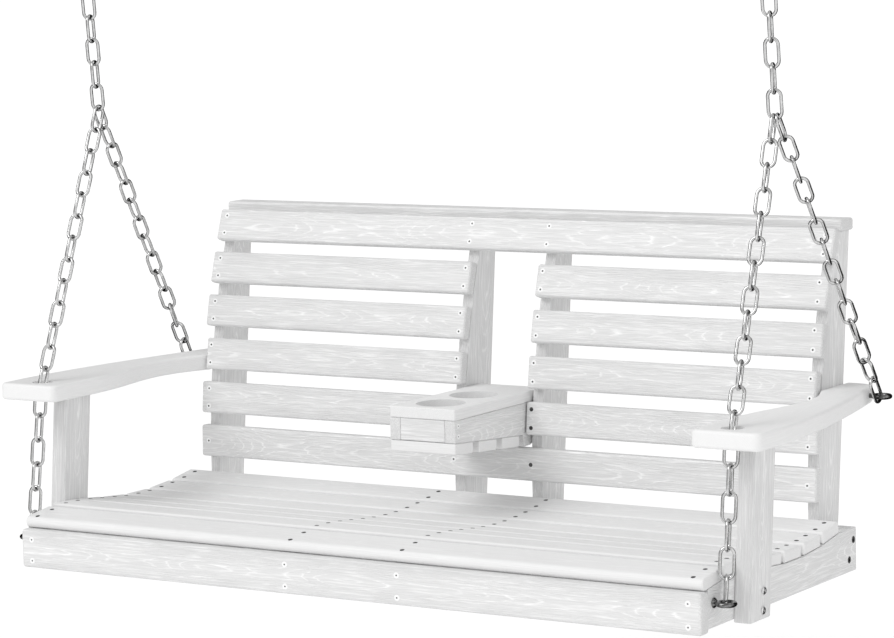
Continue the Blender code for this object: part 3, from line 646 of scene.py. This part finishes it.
def stadium(start, end, across):
    """Centre line of a link whose bows bear at start and end, and the normal of its plane."""
    along = (end - start).normalized()
    across = (across - along * across.dot(along)).normalized()
    radius = LINK_W / 2 - WIRE_R
    first = start - along * (WIRE_R - radius)
    last = end + along * (WIRE_R - radius)
    loop = []
    for middle, way in ((first, radius), (last, -radius)):
        for i in range(BOW_STEPS + 1):
            angle = math.pi * i / BOW_STEPS
            loop.append(middle + across * (way * math.cos(angle)) - along * (way * math.sin(angle)))
    return loop, across.cross(along)


def contact_shade_amount(distance, reach, fade, darkest):
    """How much painted shade a point gets, at this distance from where two pieces bear."""
    return max(0.0, min(darkest, (reach - distance) / fade))


def turn_at(turns, index):
    """The turn of one link, in radians, from a short table of (link number, degrees)."""
    first, *rest = turns
    if index <= first[0]:
        return math.radians(first[1])
    for second in rest:
        if index <= second[0]:
            share = (index - first[0]) / (second[0] - first[0])
            return math.radians(first[1] + share * (second[1] - first[1]))
        first = second
    return math.radians(first[1])


def run_of_links(stations, first_across, turns):
    """(start, end, across) of each link along straight stretches between the stations."""
    links = []
    for start, end, count in stations:
        step = (end - start) / count
        for i in range(count):
            index = len(links)
            quarter = math.pi / 2 if index % 2 else 0.0
            turn = Matrix.Rotation(turn_at(turns, index) + quarter, 3, "Z")
            links.append((start + step * i, start + step * (i + 1), turn @ first_across))
    return links


def dress_chain(node, links, place, body):
    """Separate round-wire links, with painted shade where they bear on each other."""
    builder = bmesh.new()
    ends = []
    for start, end, across in links:
        ends += [place @ start, place @ end]
        lean = math.radians(RANDOM.uniform(-LINK_LEAN, LINK_LEAN))
        leaned = Matrix.Rotation(lean, 3, (end - start).normalized())
        loop, normal = stadium(start, end, leaned @ across)
        loop = [place @ point for point in loop]
        normal = (place.to_3x3() @ normal).normalized()
        tube_loop(builder, loop, WIRE_R, sides=12, normal=normal)

    # Painted shade near the ends, where links bear on each other.
    def contact_shade(point):
        return contact_shade_amount(min((point - end).length for end in ends), *LINK_CONTACT_SHADE)

    finish_metal(builder, "links_" + node, "zinc", body, "chain_steel", node, sharp=60, contact_shade=contact_shade)


def bearing(eye, toward, pulled_from):
    """Where a link bears on a level eye: on the side away from the pull."""
    wire_centre = eye + toward.normalized() * EYE_RING_R
    return wire_centre - (pulled_from - wire_centre).normalized() * EYE_WIRE_R


def dress_chains():
    x_axis = Vector((1, 0, 0))
    y_axis = Vector((0, 1, 0))
    hanging = Matrix.Translation((0.0, -ROCK_LINE[0], ROCK_Z - ROCK_LINE[1]))
    for side, sign in SIDES.items():
        flip = Matrix.Diagonal((sign, 1, 1))
        junction = flip @ Vector(JUNCTION)
        top = junction + Vector((0, 0, MAIN_LINKS * MAIN_PITCH))
        main_run = run_of_links([(junction, top, MAIN_LINKS)], x_axis, UPPER_TURNS)
        dress_chain("chain_upper_" + side, main_run, hanging, "upper_chain_" + side)

        step = flip @ Vector((LEG_SIDE_STEP, 0, 0))
        kink = flip @ Vector(KINK)
        last_link = FRONT_LINKS_ABOVE + FRONT_LINKS_BELOW - 1
        toward = Matrix.Rotation(turn_at(FRONT_TURNS[side], last_link), 3, "Z") @ y_axis
        front_end = bearing(flip @ Vector(FRONT_EYE), toward, kink)
        above = (junction - step, kink, FRONT_LINKS_ABOVE)
        below = (kink, front_end, FRONT_LINKS_BELOW)
        front_run = run_of_links([above, below], y_axis, FRONT_TURNS[side])
        dress_chain("chain_front_" + side, front_run, BENCH, "bench")

        rear_end = bearing(flip @ Vector(REAR_EYE), -y_axis, junction + step)
        rear_run = run_of_links([(junction + step, rear_end, REAR_LINKS)], y_axis, REAR_TURNS[side])
        dress_chain("chain_rear_" + side, rear_run, BENCH, "bench")


dress_chains()


# ---------------------------------------------------------------- bolts, eyes, hooks, hangers


# A profile lists (radius, distance outward from a face). A head is its radius, its height and the
# radius and depth of its recess, and a nut is the radius over its corners and its height.
AXIS_R = 0.0002
HEAD_GAP = 0.0001
NUT_GAP = 0.0003
EYE_RING_STEPS = 40
EYE_TAIL = 0.0125
EYE_TAIL_BEVEL = 0.0006
EYE_NECK_OVERLAP = 0.001
EYE_COLLAR = ((0.0040, 0.0002), (0.0078, 0.0004), (0.0078, 0.0016), (0.0044, 0.0048), (0.0040, 0.0048))
WASHER_TOP = -0.0018
EYE_WASHER = (
    (0.0040, WASHER_TOP),
    (0.0097, WASHER_TOP),
    (0.0099, -0.0010),
    (0.0097, -0.0003),
    (0.0040, -0.0003),
)
EYE_NUT = (0.0075, 0.0065)
POST_BOLT_HEAD = (0.0058, 0.0030, 0.0024, 0.0018)
POST_NUT = (0.0070, 0.0055)
PIVOT_HEAD = (0.0062, 0.0036, 0.0024, 0.0020)
PIVOT_SHANK = ((AXIS_R, 0.0), (0.0039, 0.0), (0.0039, 0.0500), (AXIS_R, 0.0500))
PIVOT_NUT = (0.0070, 0.0058)
ARM_PLATE_EDGE = 0.0006
HOOK_WIRE_R = 0.003
HOOK_INSET = 0.0042
HOOK_STEPS = 24
HOOK_SLEEVE = (0.0045, 0.014)
HANGER_PLATE = (0.100, 0.040, 0.005)
HANGER_CORNER_R = 0.008
HANGER_EDGE = 0.0008
HANGER_WIRE_R = 0.0035
HANGER_BOW_R = 0.0135
HANGER_BOW_STEPS = 16
HANGER_EYE_ROOT = 0.004
HANGER_CORNER_STEPS = 6
HANGER_RIM = math.radians(60)
HANGER_SCREW_X = 0.036
HANGER_SCREW_SINK = 0.0002
HANGER_SCREW = (0.0062, 0.0028, 0.0024, 0.0018)


def circle(centre, radius, first, second):
    angles = [2 * math.pi * k / EYE_RING_STEPS for k in range(EYE_RING_STEPS)]
    return [centre + first * (radius * math.cos(a)) + second * (radius * math.sin(a)) for a in angles]


def domed_head(builder, place, outward, radius, height, recess, recess_depth):
    """A pan head with a round driver recess, standing on a face."""
    rim = [(AXIS_R, 0.0), (radius, 0.0), (radius, 0.25 * height)]
    dome = []
    for k in range(1, 6):
        angle = math.pi / 2 * k / 6
        across = recess + (radius - recess) * math.cos(angle)
        dome.append((across, 0.25 * height + 0.75 * height * math.sin(angle)))
    bottom = [(recess, height), (recess, height - recess_depth), (AXIS_R, height - recess_depth)]
    turned(builder, rim + dome + bottom, place, outward)


def hex_nut(builder, place, outward, corner_r, height):
    bevelled = 0.90 * corner_r
    profile = [
        (bevelled, 0.0),
        (corner_r, 0.10 * height),
        (corner_r, 0.88 * height),
        (bevelled, height),
    ]
    turned(builder, profile, place, outward, sides=6)


def turned_from(builder, profile, face, place, outward):
    """Turns a profile that starts at a board's face, at this distance from the place."""
    turned(builder, [(radius, face + distance) for radius, distance in profile], place, outward)


def dress_eyes():
    for side, sign in SIDES.items():
        outward = Vector((sign, 0, 0))
        rows = (
            ("front", FRONT_EYE, RAIL_OUTER_X, RAIL_INNER_X, 1),
            ("rear", REAR_EYE, None, OUTER_UPRIGHT_INNER_X, -1),
        )
        for row, eye, outer_face, inner_face, pulled in rows:
            centre = on_bench(sign * eye[0], eye[1], eye[2])
            builder = bmesh.new()
            ring = circle(centre, EYE_RING_R, outward, bench_direction(0, 1, 0))
            tube_loop(builder, ring, EYE_WIRE_R, sides=16, normal=BENCH_UP)
            line = on_bench(0.0, eye[1], eye[2])
            neck = eye[0] - EYE_RING_R
            tip = inner_face - EYE_TAIL
            shank = [
                (AXIS_R, tip),
                (EYE_WIRE_R - EYE_TAIL_BEVEL, tip),
                (EYE_WIRE_R, tip + EYE_TAIL_BEVEL),
                (EYE_WIRE_R, neck),
                (AXIS_R, neck + EYE_NECK_OVERLAP),
            ]
            turned(builder, shank, line, outward)
            if outer_face:
                turned_from(builder, EYE_COLLAR, outer_face, line, outward)
            turned_from(builder, EYE_WASHER, inner_face, line, outward)
            hex_nut(builder, line + outward * (inner_face + WASHER_TOP), -outward, *EYE_NUT)
            name = f"eye_bolt_{row}_{side}"
            bearing_point = centre + bench_direction(0, pulled, 0) * EYE_RING_R

            # Painted shade where the chain's last link bears on the eye.
            def contact_shade(point):
                return contact_shade_amount((point - bearing_point).length, *EYE_CONTACT_SHADE)

            finish_metal(builder, "ring_" + name, "eye", "bench", "eye_bolt_steel", name, contact_shade=contact_shade)


def dress_bolts():
    for side, sign in SIDES.items():
        outward = Vector((sign, 0, 0))
        for row, (y, z) in zip(("lower", "upper"), POST_BOLTS):
            builder = bmesh.new()
            head = on_bench(sign * (POST_OUTER_X + HEAD_GAP), y, z)
            domed_head(builder, head, outward, *POST_BOLT_HEAD)
            inside = on_bench(sign * (RAIL_INNER_X - NUT_GAP), y, z)
            hex_nut(builder, inside, -outward, *POST_NUT)
            name = f"post_bolt_{side}_{row}"
            finish_metal(builder, "head_" + name, "bolt", "bench", "bolt_steel", name)

        builder = bmesh.new()
        head = on_bench(sign * PIVOT_HEAD_X, *PIVOT)
        domed_head(builder, head, -outward, *PIVOT_HEAD)
        turned(builder, PIVOT_SHANK, head, outward)
        nut = on_bench(sign * (UPRIGHT_FACE_X + NUT_GAP), *PIVOT)
        hex_nut(builder, nut, outward, *PIVOT_NUT)
        name = "console_pivot_" + side
        finish_metal(builder, "head_" + name, "bolt", "bench", "bolt_steel", name)

        node = "arm_plate_" + side
        builder = cad_copy(node)
        whole_faces(builder)
        round_edges(builder, list(builder.edges), ARM_PLATE_EDGE, 2)
        finish_metal(builder, "bar_" + node, "dark", "bench", "plate_steel", node)


def dress_hooks():
    """A quick link with a hexagonal sleeve, and the plate with its eye that it hangs from."""
    down = Vector((0, 0, -1))
    for side in SIDES:
        low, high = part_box("snap_hook_" + side)
        middle = (low + high) / 2
        bow = (high.y - low.y) / 2 - HOOK_INSET
        rise = (high.z - low.z) / 2 - HOOK_WIRE_R - bow
        loop = []
        for half, bow_z in enumerate((rise, -rise)):
            for k in range(HOOK_STEPS + 1):
                angle = math.pi * (half + k / HOOK_STEPS)
                loop.append(middle + Vector((0, bow * math.cos(angle), bow_z + bow * math.sin(angle))))
        builder = bmesh.new()
        tube_loop(builder, loop, HOOK_WIRE_R, sides=14, normal=Vector((1, 0, 0)))
        sleeve_r, sleeve_length = HOOK_SLEEVE
        sleeve_top = middle + Vector((0, bow, sleeve_length / 2))
        hex_nut(builder, sleeve_top, down, sleeve_r, sleeve_length)
        name = "snap_hook_" + side
        finish_metal(builder, "link_" + name, "bolt", "upper_chain_" + side, "hook_steel", name)

        low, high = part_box("hanger_" + side)
        centre = Vector(((low.x + high.x) / 2, (low.y + high.y) / 2, high.z))
        length, width, thickness = HANGER_PLATE
        builder = bmesh.new()
        corners = []
        for quarter, (sx, sy) in enumerate(((1, 1), (-1, 1), (-1, -1), (1, -1))):
            across_x, across_y = length / 2 - HANGER_CORNER_R, width / 2 - HANGER_CORNER_R
            middle = centre + Vector((sx * across_x, sy * across_y, 0))
            for k in range(HANGER_CORNER_STEPS + 1):
                angle = math.pi / 2 * (quarter + k / HANGER_CORNER_STEPS)
                turn = Vector((math.cos(angle), math.sin(angle), 0))
                corners.append(middle + turn * HANGER_CORNER_R)
        base = builder.faces.new([builder.verts.new(point) for point in corners])
        pushed = bmesh.ops.extrude_face_region(builder, geom=[base])
        moved = [item for item in pushed["geom"] if isinstance(item, bmesh.types.BMVert)]
        bmesh.ops.translate(builder, vec=down * thickness, verts=moved)
        rims = [e for e in builder.edges if e.calc_face_angle(0.0) > HANGER_RIM]
        round_edges(builder, rims, HANGER_EDGE, 2)
        bow_z = low.z + HANGER_WIRE_R + HANGER_BOW_R
        legs = (high.z - HANGER_EYE_ROOT, (bow_z + high.z) / 2)
        arch = [(HANGER_BOW_R, z) for z in legs]
        for k in range(HANGER_BOW_STEPS + 1):
            angle = -math.pi * k / HANGER_BOW_STEPS
            arch.append((HANGER_BOW_R * math.cos(angle), bow_z + HANGER_BOW_R * math.sin(angle)))
        arch += [(-HANGER_BOW_R, z) for z in reversed(legs)]
        arch = [Vector((x, 0, z)) + Vector((centre.x, centre.y, 0)) for x, z in arch]
        tube_loop(builder, arch, HANGER_WIRE_R, sides=14, normal=Vector((0, 1, 0)))
        for end in (-1, 1):
            spot = centre + Vector((end * HANGER_SCREW_X, 0, HANGER_SCREW_SINK - thickness))
            domed_head(builder, spot, down, *HANGER_SCREW)
        name = "hanger_" + side
        finish_metal(builder, "plate_" + name, "bolt", "ceiling", "hanger_steel", name)


dress_eyes()
dress_bolts()
dress_hooks()


# ---------------------------------------------------------------- wood screws


# Body, material of the heads, radius of a head and radius of its recess, drawn as a dark disc of
# painted shade
SCREW_LOOKS = {
    "seat": ("bench", "dark", 0.0036, 0.0014),
    "apron": ("bench", "capped", 0.0046, 0.0013),
    "back": ("bench", "capped", 0.0044, 0.0016),
    # Dark heads for the screws in the console's shade: painted shade.
    "console_shaded": ("bench", "dark", 0.0034, 0.0016),
    "rails": ("bench", "bolt", 0.0055, 0.0020),
    "console": ("console", "capped", 0.0038, 0.0010),
}


def seat_surface(y):
    """Height and slope of the seat at y."""
    if y < SEAT_DIP[0]:
        span = SEAT_DIP[0] - SEAT_CREST[0]
        phase = math.pi * (y - SEAT_CREST[0]) / span
        drop = SEAT_CREST[1] - SEAT_DIP[1]
        height = SEAT_DIP[1] + drop * (1 + math.cos(phase)) / 2
        return height, -drop * math.pi / (2 * span) * math.sin(phase)
    offset = y - SEAT_DIP[0]
    return SEAT_DIP[1] + SEAT_REAR_RISE * offset**2, 2 * SEAT_REAR_RISE * offset


def seat_screw_places():
    """(y, z, slope) of each row of seat screws."""
    rows = []
    for y in FRONT_SLAT_SCREWS_Y:
        z = FRONT_SLAT_REAR[1] - FRONT_SLAT_SLOPE * (FRONT_SLAT_REAR[0] - y)
        rows.append((y, z, FRONT_SLAT_SLOPE))
    for i in range(NARROW_SLATS):
        y = SEAT_REAR_SLAT_Y - i * SEAT_SLAT_PITCH
        z, slope = seat_surface(y)
        for step in (-SEAT_SCREW_STEP, SEAT_SCREW_STEP):
            rows.append((y + step, z + slope * step, slope))
    return rows


def back_screw_places():
    """(level, y, z, lean) of each row of screws in the back slats' front faces."""
    rows = []
    for level in range(BACK_LEVELS):
        arc = BACK_LOWEST_ARC + level * BACK_SLAT_PITCH
        lean = arc / BACK_ARC_R
        y = BACK_ARC[0] + BACK_ARC_R * (1 - math.cos(lean))
        z = BACK_ARC[1] + BACK_ARC_R * math.sin(lean)
        for step in (-BACK_SCREW_STEP, BACK_SCREW_STEP) if level else (0.0,):
            rows.append((level, y + step * math.sin(lean), z + step * math.cos(lean), lean))
    return rows


def flush_head(builder, place, outward, radius):
    """A screw head sunk flush: a low dished disc, barely proud of the board."""
    profile = [
        (AXIS_R, -0.0006),
        (radius, -0.0006),
        (radius, 0.00012),
        (0.80 * radius, 0.00030),
        (0.50 * radius, 0.00030),
        (0.30 * radius, 0.00015),
        (AXIS_R, 0.00015),
    ]
    turned(builder, profile, place, outward, sides=20)


def recess_shade_disc(builder, place, outward, radius):
    """The driver recess, as a dark disc on the head: painted shade standing in for the hole."""
    profile = [(AXIS_R, 0.0), (radius, 0.0), (radius, 0.00036), (AXIS_R, 0.00036)]
    turned(builder, profile, place, outward, sides=8)


def screws(name, spots, body, head, head_r, shade_disc_r):
    heads, shade_discs = bmesh.new(), bmesh.new()
    for place, outward in spots:
        flush_head(heads, place, outward, head_r)
        recess_shade_disc(shade_discs, place, outward, shade_disc_r)
    finish_metal(heads, "heads_" + name, head, body, "bolt_steel")
    # The recesses are dark discs of painted shade, not holes.
    finish_metal(shade_discs, "recess_shade_" + name, "dark", body, "bolt_steel")


def add_screws():
    spots = {name: [] for name in SCREW_LOOKS}
    columns = [sign * x for sign in (-1, 1) for x in (RAIL_COLUMN_X, SUPPORT_COLUMN_X)]
    for x in columns:
        for y, z, slope in seat_screw_places():
            spots["seat"].append((on_bench(x, y, z), bench_direction(0, -slope, 1)))
        for z in APRON_SCREWS_Z:
            spots["apron"].append((on_bench(x, 0.0, z), bench_direction(0, -1, 0)))
    for sign in (-1, 1):
        for x in BACK_COLUMNS_X:
            for level, y, z, lean in back_screw_places():
                outward = bench_direction(0, -math.cos(lean), math.sin(lean))
                # Screws in the console's shade get dark heads: painted shade.
                console_shaded = level in CONSOLE_SHADE_LEVELS and x == BACK_COLUMNS_X[0] and sign > 0
                spots["console_shaded" if console_shaded else "back"].append((on_bench(sign * x, y, z), outward))
        outward = Vector((sign, 0, 0))
        for y, z in RAIL_BOLTS:
            spots["rails"].append((on_bench(sign * RAIL_OUTER_X, y, z), outward))
        console_x, console_y, console_rows = CONSOLE_SCREWS
        for z in console_rows:
            spots["console"].append((on_bench(sign * console_x, console_y, z), outward))
    for name, look in SCREW_LOOKS.items():
        screws(name, spots[name], *look)


add_screws()


# ---------------------------------------------------------------- camera, light, floor


def add_camera():
    azimuth, elevation, roll = CAMERA_AZIMUTH, CAMERA_ELEVATION, CAMERA_ROLL
    back = Vector(
        (
            math.sin(azimuth) * math.cos(elevation),
            -math.cos(azimuth) * math.cos(elevation),
            math.sin(elevation),
        )
    )
    level = Vector((math.cos(azimuth), math.sin(azimuth), 0))
    upright = back.cross(level)
    right = level * math.cos(roll) + upright * math.sin(roll)
    up = -level * math.sin(roll) + upright * math.cos(roll)
    data = bpy.data.cameras.new("camera")
    data.sensor_width = SENSOR
    data.lens = CAMERA_FOCAL_WIDTHS * SENSOR
    data.clip_end = 100.0
    camera = add_object("camera", data)
    turned_axes = Matrix((right, up, back)).transposed().to_4x4()
    camera.matrix_world = BENCH @ Matrix.Translation(CAMERA_FROM_APRON) @ turned_axes
    bpy.context.scene.camera = camera


def add_sun(name, towards, strength, spread):
    data = bpy.data.lights.new(name, "SUN")
    data.energy = strength
    data.angle = math.radians(spread)
    light = add_object(name, data)
    light.rotation_euler = Vector(towards).to_track_quat("-Z", "Y").to_euler()


def add_studio():
    """Even light: pale surroundings, a broad key from the front left and a weak fill from the right."""
    scene = bpy.context.scene
    scene.view_settings.view_transform = "Standard"
    world = bpy.data.worlds.new("studio")
    world.use_nodes = True
    background = world.node_tree.nodes["Background"]
    background.inputs["Color"].default_value = grey(1.0)
    background.inputs["Strength"].default_value = WORLD_STRENGTH
    scene.world = world
    add_sun("key", *KEY)
    add_sun("fill", *FILL)
    builder = bmesh.new()
    floor_z = CAD_BOX[0].z - FLOOR_DROP
    corners = [(-FLOOR_HALF, -FLOOR_HALF), (FLOOR_HALF, -FLOOR_HALF)]
    corners += [(FLOOR_HALF, FLOOR_HALF), (-FLOOR_HALF, FLOOR_HALF)]
    builder.faces.new([builder.verts.new((x, y, floor_z)) for x, y in corners])
    mesh = mesh_from(builder, "floor")
    floor = add_object("floor", mesh)
    tree = Tree("floor_paint")
    tree.shader.inputs["Base Color"].default_value = grey(FLOOR_ALBEDO)
    tree.shader.inputs["Roughness"].default_value = 0.9
    tree.shader.inputs["Specular IOR Level"].default_value = 0.0
    tree.shader.inputs["Emission Color"].default_value = grey(1.0)
    tree.shader.inputs["Emission Strength"].default_value = FLOOR_GLOW
    mesh.materials.append(tree.material)


def add_flag():
    """Black cloth behind and below the swing, seen only in reflections: it gives metal dark edges."""
    tree = Tree("flag_cloth")
    tree.shader.inputs["Base Color"].default_value = grey(0.01)
    tree.shader.inputs["Roughness"].default_value = 1.0
    ahead = math.pi / 2 + CAMERA_AZIMUTH
    builder = bmesh.new()
    foot, head = [], []
    for i in range(FLAG_PANELS + 1):
        angle = ahead + FLAG_HALF_ANGLE * (2 * i / FLAG_PANELS - 1)
        x, y = FLAG_RADIUS * math.cos(angle), FLAG_RADIUS * math.sin(angle)
        foot.append(builder.verts.new((x, y, -FLAG_HALF_HEIGHT)))
        head.append(builder.verts.new((x, y, FLAG_HALF_HEIGHT)))
    for i in range(FLAG_PANELS):
        builder.faces.new((foot[i], foot[i + 1], head[i + 1], head[i]))
    sheet_z = CAD_BOX[0].z - FLOOR_DROP + FLAG_SHEET_LIFT
    corners = [(-FLAG_SHEET_HALF, FLAG_FRONT_Y), (FLAG_SHEET_HALF, FLAG_FRONT_Y)]
    corners += [(FLAG_SHEET_HALF, FLAG_SHEET_HALF), (-FLAG_SHEET_HALF, FLAG_SHEET_HALF)]
    builder.faces.new([builder.verts.new((x, y, sheet_z)) for x, y in corners])
    mesh = mesh_from(builder, "flag")
    mesh.materials.append(tree.material)
    flag = add_object("flag", mesh)
    flag.visible_camera = False
    flag.visible_diffuse = False
    flag.visible_shadow = False


add_camera()
add_studio()
add_flag()
